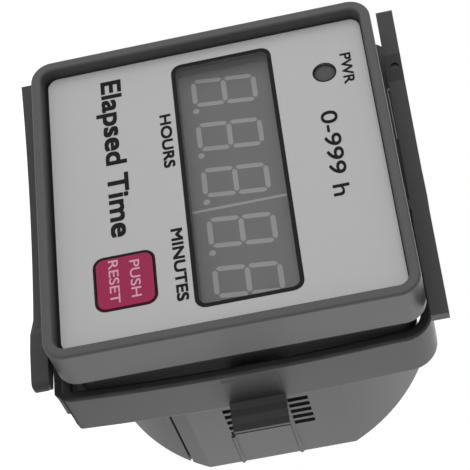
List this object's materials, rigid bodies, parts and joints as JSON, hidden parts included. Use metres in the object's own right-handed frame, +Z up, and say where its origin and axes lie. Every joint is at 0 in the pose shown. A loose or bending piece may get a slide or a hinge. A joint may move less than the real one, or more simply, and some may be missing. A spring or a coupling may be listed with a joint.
{
  "type": "hour meter",
  "caption": "Square panel-mounted hour meter with LED digits, a power lamp, a reset key, a round plug-in body and a sliding sprung mounting adapter.",
  "frame": {"origin": "centre of the bezel's rear face, where it seats on the panel", "axes": "+Y into the panel, so the face looks along -Y; +X to the reader's right; +Z up"},
  "size_m": [0.0578, 0.0527, 0.0539],
  "materials": {
    "bezel_plastic": "moulded, fine satin",
    "printed_face": "printed film, satin",
    "window_tint": "tinted, clear gloss",
    "display_plastic": "moulded, matt",
    "segment_diffuser": "milky diffuser",
    "tinned_brass": "tinned",
    "lamp_lens": "tinted diffuser",
    "key_plastic": "moulded, satin",
    "black_plastic": "moulded, matt",
    "board_laminate": "solder mask",
    "screw_steel": "zinc plated",
    "chip_plastic": "moulded epoxy",
    "can_steel": "nickel plated",
    "capacitor_plastic": "potted box",
    "can_aluminium": "sleeved can",
    "case_plastic": "moulded, fine satin",
    "base_plastic": "moulded, satin",
    "plated_brass": "nickel plated",
    "adapter_plastic": "moulded, fine satin"
  },
  "bodies": {
    "meter": {"front_bezel": "bezel_plastic", "face_overlay": "printed_face", "display_window": "window_tint", "hours_display": "display_plastic", "hours_segments": "segment_diffuser", "minutes_display": "display_plastic", "minutes_segments": "segment_diffuser", "display_seam": "segment_diffuser", "display_pins": "tinned_brass", "power_lamp": "lamp_lens", "tact_switch": "black_plastic", "display_board": "board_laminate", "display_screws": "screw_steel", "header_housing": "black_plastic", "header_pins": "tinned_brass", "main_board": "board_laminate", "main_screws": "screw_steel", "microcontroller": "chip_plastic", "clock_crystal": "can_steel", "cell_holder": "black_plastic", "backup_cell": "can_steel", "dropper_capacitor": "capacitor_plastic", "smoothing_capacitor": "can_aluminium", "bridge_rectifier": "chip_plastic", "input_optocoupler": "chip_plastic", "body_case": "case_plastic", "plug_base": "base_plastic", "contact_pins": "plated_brass", "contact_leads": "tinned_brass", "base_screws": "screw_steel"},
    "key": {"reset_key": "key_plastic", "switch_plunger": "black_plastic"},
    "adapter": {"mounting_adapter": "adapter_plastic"}
  },
  "joints": [
    {"name": "reset_press", "type": "slide", "parent": "meter", "child": "key", "axis": [0, 1, 0], "range_m": [0, 0.0005], "stiffness_N_per_m": 3000},
    {"name": "adapter_slide", "type": "slide", "parent": "meter", "child": "adapter", "axis": [0, 1, 0], "range_m": [-0.003, 0.035]}
  ]
}
